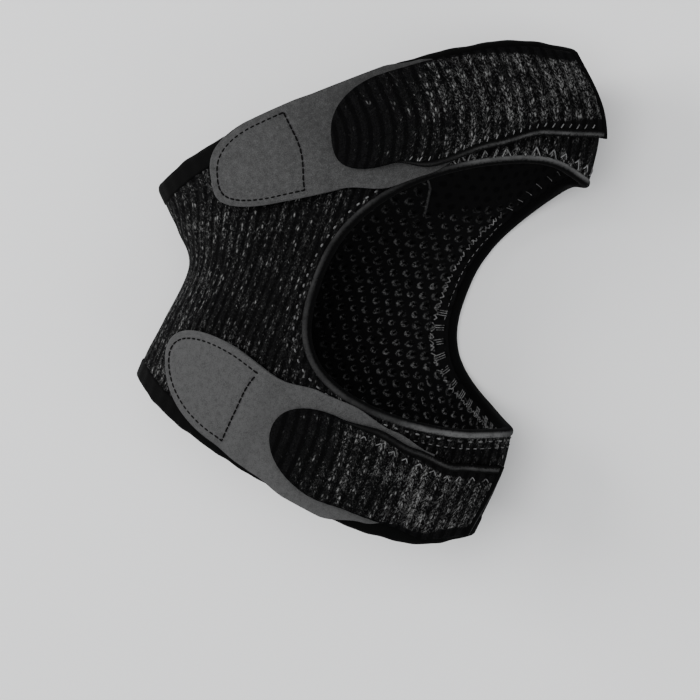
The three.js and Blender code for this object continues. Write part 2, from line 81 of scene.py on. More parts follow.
class Shader:
    """A socket of a node tree that can be added, multiplied and so on."""

    def __init__(self, tree, socket):
        self.tree = tree
        self.socket = socket

    def node(self, kind, settings=None, output=0, **values):
        """The output of a new node. Values are constants, or shaders to link, and i0 is
        the node's first socket."""
        made = self.tree.nodes.new(kind)
        for name, value in (settings or {}).items():
            setattr(made, name, value)
        for name, value in values.items():
            key = int(name[1:]) if name[0] == "i" else name
            if isinstance(value, Shader):
                self.tree.links.new(value.socket, made.inputs[key])
            else:
                made.inputs[key].default_value = value
        return Shader(self.tree, made.outputs[output])

    def math(self, operation, *values):
        return self.node("ShaderNodeMath", {"operation": operation},
                         **{f"i{k}": value for k, value in enumerate(values)})

    def __add__(self, other):
        return self.math("ADD", self, other)

    __radd__ = __add__

    def __sub__(self, other):
        return self.math("SUBTRACT", self, other)

    def __rsub__(self, other):
        return self.math("SUBTRACT", other, self)

    def __mul__(self, other):
        return self.math("MULTIPLY", self, other)

    def __truediv__(self, other):
        return self.math("DIVIDE", self, other)

    def fract(self):
        return self.math("FRACT", self)

    def floor(self):
        return self.math("FLOOR", self)

    def abs(self):
        return self.math("ABSOLUTE", self)

    def larger(self, other):
        return self.math("MAXIMUM", self, other)

    def fade(self, start, end, low=0.0, high=1.0):
        """low before start, high past end, and a smooth way between them."""
        return self.node("ShaderNodeMapRange", {"interpolation_type": "SMOOTHSTEP"},
                         i0=self, i1=start, i2=end, i3=low, i4=high)

    def join(self, y, z=0.0):
        return self.node("ShaderNodeCombineXYZ", i0=self, i1=y, i2=z)

    def parts(self):
        made = self.node("ShaderNodeSeparateXYZ", i0=self)
        return [Shader(self.tree, output) for output in made.socket.node.outputs]

    def mixed(self, dark, light):
        """A colour from dark to light as this goes from 0 to 1."""
        dark, light = [end if isinstance(end, Shader) else (*end, 1) for end in (dark, light)]
        return self.node("ShaderNodeMix", {"data_type": "RGBA"}, 2, i0=self, i6=dark, i7=light)


def material(name, build, roughness=0.8, colour=(0.02, 0.02, 0.02), sheen=0.0):
    """A new material. build gets the surface's coordinates and returns its links."""
    made = bpy.data.materials.new(name)
    made.use_nodes = True
    tree = made.node_tree
    surface = tree.nodes["Principled BSDF"]
    surface.inputs["Base Color"].default_value = (*colour, 1)
    surface.inputs["Roughness"].default_value = roughness
    surface.inputs["Specular IOR Level"].default_value = 0.05
    surface.inputs["Sheen Weight"].default_value = sheen
    for key, value in build(Shader(tree, None)).items():
        tree.links.new(value.socket, surface.inputs[key])
    return made


def flat_mm(maker):
    """The piece's flat coordinates in millimetres: round the leg and up it."""
    across, up, _ = maker.node("ShaderNodeUVMap", {"uv_map": "flat"}).parts()
    return across * 1000, up * 1000


def place(maker):
    return maker.node("ShaderNodeTexCoord", output="Object")


def noise(vector, scale, detail=2.0, roughness=0.5):
    return vector.node("ShaderNodeTexNoise", Vector=vector, Scale=scale, Detail=detail, Roughness=roughness)


def white(vector):
    return vector.node("ShaderNodeTexWhiteNoise", Vector=vector)


def flecks(vector, small, large):
    """Scattered spots, one to a unit cell, that fade out from small to large across,
    and a chance of 0 to 1 for each of them."""
    cells = vector.node("ShaderNodeTexVoronoi", output="Distance", Vector=vector, Scale=1.0)
    chance = Shader(vector.tree, cells.socket.node.outputs["Color"]).parts()[0]
    return cells.fade(small, large, 1.0, 0.0), chance


def attribute(maker, name):
    return maker.node("ShaderNodeAttribute", {"attribute_name": name}, "Fac")


def looks(colour, height, distance=0.0002, strength=0.6):
    """Links for a colour, and for bumps up to distance metres high."""
    normal = height.node("ShaderNodeBump", Height=height, Distance=distance, Strength=strength)
    return {"Base Color": colour, "Normal": normal}


def floor_links(maker):
    grain = noise(place(maker), 900, 3)
    return {"Roughness": grain.fade(0.3, 0.7, 0.5, 0.62)}


bpy.ops.mesh.primitive_plane_add(size=6, location=(0, 0, 0))
floor = bpy.context.object
floor.name = "floor"
floor.data.materials.append(material("floor_paper", floor_links, 0.55, (0.86, 0.86, 0.86)))

for name, power, size, where, turn in (
    ("light_overhead", 20, 1.6, (0.1, 0.2, 1.7), (-7, 3, 0)),
    ("light_left", 14, 0.7, (-1.1, 0.35, 0.75), (-17, -56, 0)),
    ("light_right", 6, 0.9, (1.1, -0.5, 0.8), (30, 50, 0)),
):
    bpy.ops.object.light_add(type="AREA", location=where, rotation=[math.radians(a) for a in turn])
    light = bpy.context.object
    light.name = name
    light.data.energy = power
    light.data.size = size
world = bpy.data.worlds.new("studio")
bpy.context.scene.world = world
world.use_nodes = True
world.node_tree.nodes["Background"].inputs["Color"].default_value = (0.9, 0.92, 0.95, 1)
world.node_tree.nodes["Background"].inputs["Strength"].default_value = 0.55

# Sleeve shell
# The outer layer of the sleeve, a thick rib knit of black yarn with grey flecks.
# It is one closed tube with the kneecap opening cut out, and its ribs run up the
# leg.

MM = 0.001
LOOP_WIDTH = 165
SLEEVE_HEIGHT = 183
CROWN_HEIGHT = 62
FOLD = -18
OPENING_WIDTH = 144
OPENING_HEIGHT = 102
OPENING_FROM_CALF = 46.5
OPENING_SHIFT = 1.5
OPENING_SQUARENESS = 2.55
OPENING_DIP = 7.5
OPENING_DIP_REACH = 12
OPENING_BINDING_WIDTH = 3.4
CLOTH_HEIGHT = 195
RIM_WIDTH = 8.5
SHELL_THICKNESS = 1.6
LINING_TOP = -2.1
WALL_BOTTOM = -3.7
PROUD = 0.5

# back_x, back_y, fold_x, fold_y, crown and lean, from the calf edge to the thigh edge,
# as shares of the loop's width, the sleeve's height and the crown's height.
STATIONS = np.array([
    (-0.582, -0.175, 0.236, -0.497, 0.92, -0.065),
    (-0.548, -0.115, 0.307, -0.364, 0.95, -0.038),
    (-0.506, -0.055, 0.345, -0.236, 0.98, -0.022),
    (-0.439, 0.06, 0.433, -0.011, 1, 0),
    (-0.467, 0.134, 0.506, 0.214, 1, 0.027),
    (-0.494, 0.18, 0.533, 0.355, 0.985, 0.041),
    (-0.524, 0.232, 0.476, 0.5, 0.97, 0.056),
])
# along, rise and side of the closed loop, from the back turn over the near wall.
LOOP = np.array([
    (0, 0.42, 0), (0.03, 0.7, 0), (0.15, 0.9, 0.45), (0.33, 0.99, 0.8), (0.52, 1, 1),
    (0.7, 0.93, 1.1), (0.87, 0.74, 0.85), (0.97, 0.56, 0.25), (1, 0.45, 0), (0.97, 0.33, -0.15),
    (0.88, 0.12, -0.5), (0.75, 0, -0.8), (0.5, 0, -1), (0.25, 0, -0.8), (0.08, 0.08, -0.4),
])
# The front fold's row of that table.
LOOP_FOLD = 8
# How far the form is moved, in mm, to put the middle of its footprint over the origin.
FORM_SHIFT = (2.104, -0.269)
TABLE_SHARES = np.linspace(-0.02, 1.02, 79)
TURN_STEPS = 48


def catmull(rows, at):
    """The smooth curve through rows, padded by one at each end, at places from 0."""
    i = np.clip(np.floor(at).astype(int), 0, len(rows) - 4)
    t = (at - i)[..., None]
    a, b, c, d = (rows[i + k] for k in range(4))
    bend, twist = 2 * a - 5 * b + 4 * c - d, 3 * b - a - 3 * c + d
    return 0.5 * (2 * b + (c - a) * t + bend * t**2 + twist * t**3)


PADDED_STATIONS = np.vstack([2 * STATIONS[0] - STATIONS[1], STATIONS, 2 * STATIONS[-1] - STATIONS[-2]])
PADDED_LOOP = np.vstack([LOOP[-1], LOOP, LOOP[:2]])


def loop_points(turn, share):
    """Points of the form in mm, at rows of the loop's table and shares of the height."""
    back_x, back_y, fold_x, fold_y, crown, lean = np.moveaxis(
        catmull(PADDED_STATIONS, share * (len(STATIONS) - 1)), -1, 0)
    along, rise, side = np.moveaxis(catmull(PADDED_LOOP, turn % len(LOOP)), -1, 0)
    return np.stack([
        LOOP_WIDTH * (back_x + (fold_x - back_x) * along) + FORM_SHIFT[0],
        SLEEVE_HEIGHT * (back_y + (fold_y - back_y) * along + lean * side) + FORM_SHIFT[1],
        CROWN_HEIGHT * crown * rise,
    ], -1)


def running_length(points):
    """Lengths along each row of points, from its first point."""
    steps = np.linalg.norm(np.diff(points, axis=1), axis=-1)
    return np.hstack([np.zeros((len(points), 1)), np.cumsum(steps, axis=1)])


TURNS = np.linspace(0, len(LOOP), len(LOOP) * TURN_STEPS + 1)
lengths = running_length(loop_points(*np.meshgrid(TURNS, TABLE_SHARES)))
GIRTHS = lengths[:, -1]
FOLD_ARCS = lengths[:, LOOP_FOLD * TURN_STEPS]
PARTS_OF_GIRTH = np.linspace(0, 1, 721)
TURN_TABLE = np.array([np.interp(PARTS_OF_GIRTH * row[-1], row, TURNS) for row in lengths])


def bilinear(table, row, column):
    r = np.clip(np.floor(row).astype(int), 0, table.shape[0] - 2)
    c = np.clip(np.floor(column).astype(int), 0, table.shape[1] - 2)
    u, v = row - r, column - c
    return ((1 - u) * (1 - v) * table[r, c] + (1 - u) * v * table[r, c + 1]
            + u * (1 - v) * table[r + 1, c] + u * v * table[r + 1, c + 1])


def half_girth(share):
    return np.interp(share, TABLE_SHARES, GIRTHS) / 2


def form(w, share):
    """Points in mm at a distance w round the leg from the front midline."""
    w, share = np.broadcast_arrays(w, share)
    girth = 2 * half_girth(share)
    arc = (np.interp(share, TABLE_SHARES, FOLD_ARCS) + FOLD - w) % girth
    row = (share - TABLE_SHARES[0]) / (TABLE_SHARES[1] - TABLE_SHARES[0])
    turn = bilinear(TURN_TABLE, row, arc / girth * (len(PARTS_OF_GIRTH) - 1))
    points = loop_points(turn, share)
    points[..., 2] = np.maximum(points[..., 2], 0)
    return points


def smooth(x, start, end):
    t = np.clip((x - start) / (end - start), 0, 1)
    return t * t * (3 - 2 * t)


def unit(vectors):
    return vectors / np.linalg.norm(vectors, axis=-1, keepdims=True)


# Small steps round the leg, in mm, and up it, as a share, that give its directions.
STEP_ROUND = 0.6
STEP_UP = 0.004
# A place round the leg that no cloth reaches.
NEVER = -1e9


def form_frame(w, share):
    """Points, directions round the leg, and outward normals."""
    around = unit(form(w + STEP_ROUND, share) - form(w - STEP_ROUND, share))
    up = form(w, share + STEP_UP) - form(w, share - STEP_UP)
    return form(w, share), around, unit(np.cross(up, around))


def laid(w, share, offset, leaves=NEVER):
    """Points of cloth offset over the form, in metres. Short of leaves it runs straight."""
    w, share, offset = np.broadcast_arrays(w, share, offset)
    points, around, normal = form_frame(np.maximum(w, leaves), share)
    points = points + normal * offset[..., None] + around * np.minimum(w - leaves, 0)[..., None]
    points[..., 2] = np.maximum(points[..., 2], 0)
    return points * MM


HEIGHT_SHARES = np.linspace(0, 1, 49)
LINE_PLACES = np.linspace(-205, 205, 821)
heights = running_length(form(LINE_PLACES[:, None], HEIGHT_SHARES))
PARTS_OF_HEIGHT = np.linspace(0, 1, 201)
SHARE_TABLE = np.array([np.interp(PARTS_OF_HEIGHT * row[-1], row, HEIGHT_SHARES) for row in heights])


def share_in(w, side, distance):
    """The share of height a distance in from the calf (-1) or thigh (1) edge."""
    w, distance = np.broadcast_arrays(w, distance)
    total = np.interp(w, LINE_PLACES, heights[:, -1])
    up = distance / total if side < 0 else 1 - distance / total
    column = (w - LINE_PLACES[0]) / (LINE_PLACES[1] - LINE_PLACES[0])
    return bilinear(SHARE_TABLE, column, np.clip(up, 0, 1) * (len(PARTS_OF_HEIGHT) - 1))


def from_fold(part, share):
    """The place w a share of the way from the fold to the back line."""
    return FOLD + part * (half_girth(share) + np.where(part < 0, FOLD, -FOLD))


def share_along(w, side, distance):
    """share_in along lines up the leg. w has a row for each line, with its places at
    the HEIGHT_SHARES."""
    lengths = running_length(form(w, HEIGHT_SHARES))
    up = np.broadcast_to(distance, len(w)) if side < 0 else lengths[:, -1] - distance
    return np.array([np.interp(u, row, HEIGHT_SHARES) for u, row in zip(up, lengths)])


def build_mesh(name, points, faces, uvs=None):
    """A new object with its place in its mesh. uvs has one row for each face corner."""
    mesh = bpy.data.meshes.new(name)
    faces = np.asarray(faces)
    mesh.vertices.add(len(points))
    mesh.vertices.foreach_set("co", np.asarray(points, float).ravel())
    mesh.loops.add(faces.size)
    mesh.loops.foreach_set("vertex_index", faces.ravel().astype(np.int32))
    mesh.polygons.add(len(faces))
    mesh.polygons.foreach_set("loop_start", np.arange(0, faces.size, faces.shape[1], dtype=np.int32))
    mesh.polygons.foreach_set("use_smooth", np.ones(len(faces), bool))
    mesh.update(calc_edges=True)
    if uvs is not None:
        mesh.uv_layers.new(name="flat").data.foreach_set("uv", np.asarray(uvs, float).ravel())
    mesh.validate()
    outward = bmesh.new()
    outward.from_mesh(mesh)
    bmesh.ops.recalc_face_normals(outward, faces=outward.faces)
    outward.to_mesh(mesh)
    outward.free()
    piece = bpy.data.objects.new(name, mesh)
    bpy.context.collection.objects.link(piece)
    return piece


def thickened(name, over, under, ids, flat, i, j, **measures):
    """A closed piece between two grids of points. ids numbers the points, i and j are the
    columns and rows of its quads, and flat holds its coordinates, with a column more
    than there are points if it is a loop. Measures of the points become attributes."""
    count, after = ids.size, (i + 1) % len(ids)
    faces = np.stack([ids[i, j], ids[i, j + 1], ids[after, j + 1], ids[after, j]], -1)
    uv = np.stack([flat[i, j], flat[i, j + 1], flat[i + 1, j + 1], flat[i + 1, j]], 1)
    edges = np.concatenate([faces[:, [k, (k + 1) % 4]] for k in range(4)]).astype(np.int64)
    free = ~np.isin(edges[:, 0] * count + edges[:, 1], edges[:, 1] * count + edges[:, 0])
    p, q = edges[free].T
    side_uv = np.concatenate([uv[:, k] for k in range(4)])[free]
    sides = np.stack([q, p, p + count, q + count], -1)
    quads = np.concatenate([faces, faces[:, ::-1] + count, sides])
    uvs = np.concatenate([uv, uv[:, ::-1], np.repeat(side_uv[:, None], 4, 1)])
    used, packed = np.unique(quads, return_inverse=True)
    points = np.concatenate([over.reshape(-1, 3), under.reshape(-1, 3)])[used]
    piece = build_mesh(name, points, packed.reshape(-1, 4), uvs)
    for key, values in measures.items():
        kept = piece.data.attributes.new(key, "FLOAT", "POINT")
        kept.data.foreach_set("value", np.tile(values.ravel(), 2)[used])
    return piece


def closed_cloth(name, over, under, flat, **measures):
    """A closed piece with all the quads of its grids. flat is in mm."""
    columns, rows = over.shape[:2]
    i, j = np.meshgrid(np.arange(len(flat) - 1), np.arange(rows - 1), indexing="ij")
    ids = np.arange(columns * rows).reshape(columns, rows)
    return thickened(name, over, under, ids, flat * MM, i.ravel(), j.ravel(), **measures)


def dress(piece, finish, node):
    """The piece with its material, in place of a node of the frame."""
    piece.data.materials.append(finish)
    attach(piece, "root")
    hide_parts(node)
    return piece


# The opening on the cloth: an oval a little squarer than an ellipse.
opening_low = share_in(0, -1, OPENING_FROM_CALF)
opening_high = share_in(0, -1, OPENING_FROM_CALF + OPENING_HEIGHT)
OPENING_MIDDLE = float(opening_low + opening_high) / 2
OPENING_HALF = float(opening_high - opening_low) / 2


def dip_at(w):
    """How far the opening's upper edge dips, as a share of the sleeve's height."""
    deepest = 2 * OPENING_HALF * OPENING_DIP / OPENING_HEIGHT
    return deepest * np.exp(-((w - FOLD) / OPENING_DIP_REACH) ** 2)


def oval_share(w, side, wider=0.0):
    """The share of height of the opening's edge over w, or of one wider all round."""
    half = OPENING_WIDTH / 2 + wider
    across = np.abs((w - OPENING_SHIFT) / half)
    reach = np.clip(1 - across ** OPENING_SQUARENESS, 0, 1) ** (1 / OPENING_SQUARENESS)
    dip = dip_at(w) if side > 0 else 0
    return OPENING_MIDDLE + side * (OPENING_HALF + wider / CLOTH_HEIGHT) * reach - dip


def past_opening(w, share):
    """About how far in mm places lie out from the opening's edge."""
    across = np.abs(w - OPENING_SHIFT) / (OPENING_WIDTH / 2)
    up = np.abs(share + np.where(share > OPENING_MIDDLE, dip_at(w), 0) - OPENING_MIDDLE) / OPENING_HALF
    level = (across ** OPENING_SQUARENESS + up ** OPENING_SQUARENESS) ** (1 / OPENING_SQUARENESS)
    return (level - 1) * (across * OPENING_WIDTH + up * OPENING_HEIGHT) / (across + up) / 2


RIB_PITCH = 3.7
RIBS = 2 * round(float(half_girth(OPENING_MIDDLE)) / RIB_PITCH)
COLUMNS_PER_RIB = 6
RIB_DEPTH = 0.3
FAN_START = 82
LAP = 1.0
HALF_ROWS = 20
# Metres of flat cloth to the whole height where it is measured across the opening.
FLAT_HEIGHT = 0.19


def fan(line, share):
    """The place w of a line up the leg, given by its w beside the kneecap. Past the
    opening the lines spread so that the last one is the back line everywhere."""
    line, share = np.broadcast_arrays(line, share)
    middle, here = half_girth(OPENING_MIDDLE), half_girth(share)
    spread = FAN_START + (np.abs(line) - FAN_START) * (here - FAN_START) / (middle - FAN_START)
    return np.where(np.abs(line) < FAN_START, line, np.sign(line) * spread)


def sleeve_layer(name, columns, top, bottom, lift=None):
    """One layer of the sleeve, in two halves that are joined beside the opening. It goes
    in under the rims and the binding by the lap."""
    rows = HALF_ROWS
    middle = float(half_girth(OPENING_MIDDLE))
    line = np.linspace(-middle, middle, columns, endpoint=False)
    t = np.linspace(0, 1, rows)
    t = (t + smooth(t, 0, 1)) / 2
    shares = []
    for side in (-1, 1):
        edge = share_along(fan(line[:, None], HEIGHT_SHARES), side, RIM_WIDTH - LAP)[:, None]
        inner = oval_share(line, side, OPENING_BINDING_WIDTH - LAP)[:, None]
        shares.append(edge + (inner - edge) * (t if side < 0 else 1 - t))
    share = np.concatenate(shares, 1)
    w = fan(line[:, None], share)
    relief = lift(line[:, None] + 0 * share) if lift else 0
    over = laid(w, share, top + relief)
    under = laid(w, share, np.full_like(share, bottom))
    step = np.linalg.norm(np.diff(over, axis=1), axis=-1)
    step[:, rows - 1] = 0
    height = np.hstack([np.zeros((columns, 1)), np.cumsum(step, axis=1)])
    below, above = share[:, rows - 1:rows], share[:, rows:rows + 1]
    height -= height[:, rows - 1:rows] + (OPENING_MIDDLE - below) * FLAT_HEIGHT
    height[:, rows:] += (above - below) * FLAT_HEIGHT
    ids = np.arange(columns * 2 * rows).reshape(columns, 2 * rows)
    joined = np.abs(line - OPENING_SHIFT) > OPENING_WIDTH / 2 + OPENING_BINDING_WIDTH - LAP
    ids[joined, rows] = ids[joined, rows - 1]
    i, j = np.meshgrid(np.arange(columns), np.arange(2 * rows - 1), indexing="ij")
    i, j = i[j != rows - 1], j[j != rows - 1]
    round_leg = np.arange(columns + 1)[:, None] * (2 * middle / columns * MM)
    flat = np.stack(np.broadcast_arrays(round_leg, np.vstack([height, height[:1]])), -1)
    return thickened(name, over, under, ids, flat, i, j, past_opening=past_opening(w, share))


def rib_knit(maker, pitch, seed, density):
    """Rib knit of black yarn with grey flecks. The ribs lie pitch mm apart, and the
    flecks lie along their slanting stitches. density, from 0 to 1, is how they crowd."""
    across, up = flat_mm(maker)
    side = ((across / pitch).fract() - 0.5).abs()
    lean = up + side * pitch * 0.9
    drift = noise((across * 0.5).join(up * 0.35, seed), 1.0, 2, 0.6)
    crest = 1 - (side - 0.12 + (drift - 0.5) * 0.16).abs().fade(0.06, 0.27)
    long_spot, long_chance = flecks(across.join(lean / 2.3, seed), 0.1, 0.46)
    short_spot, short_chance = flecks((across / 0.7).join(lean / 0.95, seed + 3.0), 0.12, 0.46)
    crowd = density * noise(place(maker), 95, 4, 0.7).fade(0.3, 0.7, 0.3, 1.15)
    fray = noise((across * 2.6).join(up * 2.2, seed), 1.0, 2, 0.7)
    strokes = long_spot * (long_chance + crowd * 0.75 - 0.97).fade(0.0, 0.4) * crest
    dots = short_spot * (short_chance + crowd * 0.7 - 0.97).fade(0.0, 0.5) * (0.3 + crest * 0.7)
    squiggle = noise((across * 0.75).join(lean * 0.5, seed + 9.0), 1.0, 2, 0.6) - 0.5
    loops = squiggle.abs().fade(0.005, 0.036, 0.38, 0.0) * crowd * crowd * (0.3 + crest * 0.7)
    light = strokes.larger(dots * 0.7).larger(loops) * fray.fade(0.28, 0.62, 0.3, 1.0)
    # Painted shade: the yarn is darker in the valleys between the ribs than on their crests.
    base = (fray * (0.65 + crest * 0.35)).fade(0.25, 0.75)
    base = base.mixed((0.0008, 0.0008, 0.0009), (0.005, 0.005, 0.0052))
    height = (1 - side * 2.0) * 0.25 + light * 0.7 + fray * 0.45
    return looks(light.mixed(base, (0.23, 0.23, 0.226)), height, 0.0006, 0.8)


def sleeve_links(maker):
    """The flecks crowd towards the back turn on the left, and beside the opening by
    the fold."""
    x, _, _ = place(maker).parts()
    x = x * 1000
    beside = attribute(maker, "past_opening").fade(5.0, 14.0, 0.7, 0.0) * x.fade(15.0, 50.0)
    return rib_knit(maker, RIB_PITCH, 0.5, x.fade(-25.0, -75.0, 0.62, 1.1) + beside)


KNIT = material("knit_black_fleck", sleeve_links, 0.95)


def rib_lift(line):
    """How far the ribs stand back from their crests."""
    return -RIB_DEPTH / 2 + RIB_DEPTH / 2 * np.cos(2 * math.pi * line / RIB_PITCH)


shell = sleeve_layer("sleeve_shell", RIBS * COLUMNS_PER_RIB, 0, -SHELL_THICKNESS, rib_lift)
dress(shell, KNIT, "knit_shell")

# Lining
# The inner layer, a black honeycomb mesh knit against the skin. It shows inside
# the kneecap opening and both ends. Its cells are dimples, with a painted highlight
# on their edge and painted shade in their hollows.


CELL_WIDTH = 5.1
CELL_HEIGHT = 4.1
LINING_COLUMNS = 288


def mesh_links(maker):
    """Rows of soft knots with painted highlights on one side and painted shade in their hollows. The
    highlights fade out to the left and towards the top with painted shade inside the sleeve. By the opening
    the lining is turned back as a plain facing, and a plain panel lies over its upper far corner."""
    across, up = flat_mm(maker)
    where = place(maker)
    wobble = noise(where, 210, 3)
    row = up / CELL_HEIGHT + wobble * 0.4
    column = across / CELL_WIDTH + row.floor() * 0.5 + wobble * 0.4
    x = (column.fract() - 0.5) * CELL_WIDTH
    y = (row.fract() - 0.5) * CELL_HEIGHT
    reach = x * x * 0.8 + y * y
    cell = reach.math("SQRT", reach)
    fuzz = noise(where, 1500, 3, 0.75)
    spot = white(column.floor().join(row.floor()))
    cell = cell * spot.fade(0.0, 1.0, 0.85, 1.2)
    knot = 1 - (cell - 1.1).abs().fade(0.2, 0.8)
    # Painted highlight on one side of each knot, where the light falls on it.
    painted_knot_highlight = (x * -0.32 - y * 0.26 + fuzz * 1.6).fade(0.3, 1.5)
    x_mm, y_mm, _ = [part * 1000 for part in where.parts()]
    # Painted shade: the knot highlights dim to the left and towards the top, deep inside the sleeve.
    far = x_mm.fade(-42.0, 12.0, 0.06, 1.0) * y_mm.fade(40.0, -15.0, 0.4, 1.0)
    panel = (x_mm + wobble * 3).fade(18.5, 20.0) * (y_mm - x_mm * 0.12 + wobble * 5).fade(30.0, 33.0)
    facing = attribute(maker, "past_opening").fade(7.6, 8.2, 1.0, 0.0)
    plain = panel.larger(facing)
    streak = noise((x_mm * 0.35 + y_mm * 0.25).join(y_mm * 0.9 - x_mm * 0.6), 1.0, 2, 0.6)
    streak = streak.fade(0.62, 0.8) * 0.1
    bow = (y_mm - 41.0).abs() * 0.22 + (fuzz - 0.5) * 1.4
    seam = (x_mm - 18.2 + bow).abs().fade(0.2, 0.7, 1.0, 0.0) * y_mm.fade(31.0, 34.0) * 0.4
    mesh = knot * painted_knot_highlight * spot.fade(0.0, 1.0, 0.35, 1.0) * fuzz.fade(0.42, 0.6) * far
    bright = mesh * (1 - plain) + streak * facing + seam * fuzz
    # Painted shade in the hollows of the cells: the base is darkest at their middles.
    base = cell.fade(0.4, 1.5).larger(plain * 0.4)
    base = base.mixed((0.0005, 0.0005, 0.0006), (0.0035, 0.0035, 0.0037))
    height = (cell.fade(0.4, 1.4) + fuzz * 0.5) * (1 - plain)
    return looks(bright.mixed(base, (0.16, 0.16, 0.16)), height, 0.0007, 0.9)


MESH = material("honeycomb_mesh", mesh_links, 0.92)

lining = sleeve_layer("sleeve_lining", LINING_COLUMNS, LINING_TOP, WALL_BOTTOM)
dress(lining, MESH, "mesh_lining")

# Rims and opening binding
# Smooth black stretch tape folded over the thigh and calf edges and sewn down,
# and a narrower rolled binding round the kneecap opening.


def domed(distance, radius):
    """1 away from an edge, falling to 0 on it along a quarter circle."""
    t = np.clip(distance / radius, 0, 1)
    return np.sqrt(np.clip(1 - (1 - t) ** 2, 0, 1))


def rim_links(maker):
    """Black stretch tape with a fine rib across it."""
    across, _ = flat_mm(maker)
    grain = noise(place(maker), 2400, 3, 0.65)
    rib = ((across / 0.7).fract() - 0.5).abs() * 2.0
    tone = (grain * 0.8 + rib * 0.2).mixed((0.0006,) * 3, (0.0022,) * 3)
    return looks(tone, rib * 0.3 + grain * 0.8)


def roll_links(maker):
    """Black tape with a soft grey painted highlight along the side where it is sewn down. The highlight is
    broad on the calf side, thin on the thigh side, and fades out with painted shade to the left and lower
    down."""
    x, y, z = [part * 1000 for part in place(maker).parts()]
    _, turn = flat_mm(maker)
    grain = noise(place(maker), 1300, 3, 0.65)
    cloud = noise(place(maker), 160, 2, 0.6)
    # Painted highlight: a soft grey line along the roll.
    sewn_side = (turn - y.fade(-25.0, 25.0, 4.8, 3.6) + (grain - 0.5) * 3.0).abs()
    line = (sewn_side - y.fade(-25.0, 25.0, 0.4, 0.1)).fade(0.0, 2.6, 1.0, 0.0)
    # Painted shade: the highlight fades out to the left and lower down.
    highlight_fade = (x - y.fade(-25.0, 25.0, 14.0, 32.0)).fade(0.0, 20.0, 0.27, 1.0)
    highlight_fade = highlight_fade * cloud.fade(0.3, 0.65, 0.55, 1.0) * z.fade(18.0, 34.0)
    tone = line * highlight_fade * grain.fade(0.25, 0.6, 0.55, 1.0)
    tone = tone.mixed((0.0016, 0.0016, 0.0017), (0.1,) * 3)
    return looks(tone, grain)


def ridge_tape(name, light):
    """Black tape with a painted highlight along its ridge, which fades out to the left with painted shade."""
    def links(maker):
        along, up = flat_mm(maker)
        grain = noise(place(maker), 1500, 3, 0.65)
        cloud = noise(place(maker), 130, 2, 0.6)
        highlight_fade = cloud.fade(0.3, 0.7, 0.45, 1.0) * along.fade(80.0, 25.0, 0.15, 1.0)
        # Painted highlight along the ridge of the tape.
        ridge = (up - 1.2 + (grain - 0.5) * 1.7).abs().fade(0.0, 0.9, 1.0, 0.0)
        tone = (ridge * grain.fade(0.2, 0.6, 0.4, 1.0) * highlight_fade).mixed((0.002,) * 3, (light,) * 3)
        return looks(tone, grain)

    return material(name, links, 0.85)


def edge_links(maker):
    """Black tape with a narrow light strip along its outer edge."""
    _, up = flat_mm(maker)
    grain = noise(place(maker), 1500, 3, 0.65)
    strip = (up + (grain - 0.5) * 0.5).fade(0.5, 1.0, 1.0, 0.0)
    tone = strip.mixed((0.0015,) * 3, (0.06, 0.06, 0.062))
    return looks(tone, grain)


RIM_TAPE = material("rim_tape_black", rim_links)
ROLL = material("binding_roll", roll_links, 0.85)
# Painted highlights on the strap bindings, brighter on the upper strap than on the lower.
UPPER_RIDGE_HIGHLIGHT = ridge_tape("binding_ridge_highlight_bright", 0.07)
LOWER_RIDGE_HIGHLIGHT = ridge_tape("binding_ridge_highlight_dim", 0.04)
END_TAPE = material("end_tape_black", edge_links, 0.85)

RIM_COLUMNS = 420
RIM_COLUMN_STEP = 0.9
RIM_ROWS = np.array([0, 0.01, 0.05, 0.12, 0.22, 0.35, 0.5, 0.65, 0.8, 0.9, 0.96, 1.0])
TAPE_STEP = 0.6
WALL_MIDDLE = WALL_BOTTOM / 2
HALF_WALL = PROUD - WALL_MIDDLE


def rim(name, node, side):
    """A folded tape round an edge of the sleeve, slightly wavy where it is sewn."""
    part = np.linspace(-1, 1, RIM_COLUMNS, endpoint=False)[:, None]
    across = RIM_WIDTH * RIM_ROWS[None, :]
    wave = 0.3 * np.sin(np.pi * part * 23) + 0.2 * np.sin(np.pi * part * 41 + 1)
    depth = across + np.maximum(0.35 + wave * 0.5, 0) * (1 - across / RIM_WIDTH)
    lines = np.repeat(part, len(RIM_ROWS), 0)
    share = share_along(from_fold(lines, HEIGHT_SHARES), side, depth.ravel()).reshape(depth.shape)
    w = from_fold(part, share)
    outer = domed(across, 2.3)
    inner = domed(RIM_WIDTH - across, 1.0)
    half = HALF_WALL * outer * (0.75 + 0.25 * inner)
    swell = 0.12 * np.sin(np.pi * part * 61)
    over = laid(w, share, WALL_MIDDLE + half + swell * outer * inner - 0.12)
    under = laid(w, share, WALL_MIDDLE - half)
    along = np.arange(RIM_COLUMNS + 1)[:, None] * RIM_COLUMN_STEP
    flat = np.stack(np.broadcast_arrays(along, across), -1)
    if side > 0:
        over, under, flat = over[:, ::-1], under[:, ::-1], flat[:, ::-1]
    return dress(closed_cloth(name, over, under, flat), RIM_TAPE, node)


thigh_tape = rim("thigh_rim_tape", "thigh_rim", 1)
calf_tape = rim("calf_rim_tape", "calf_rim", -1)


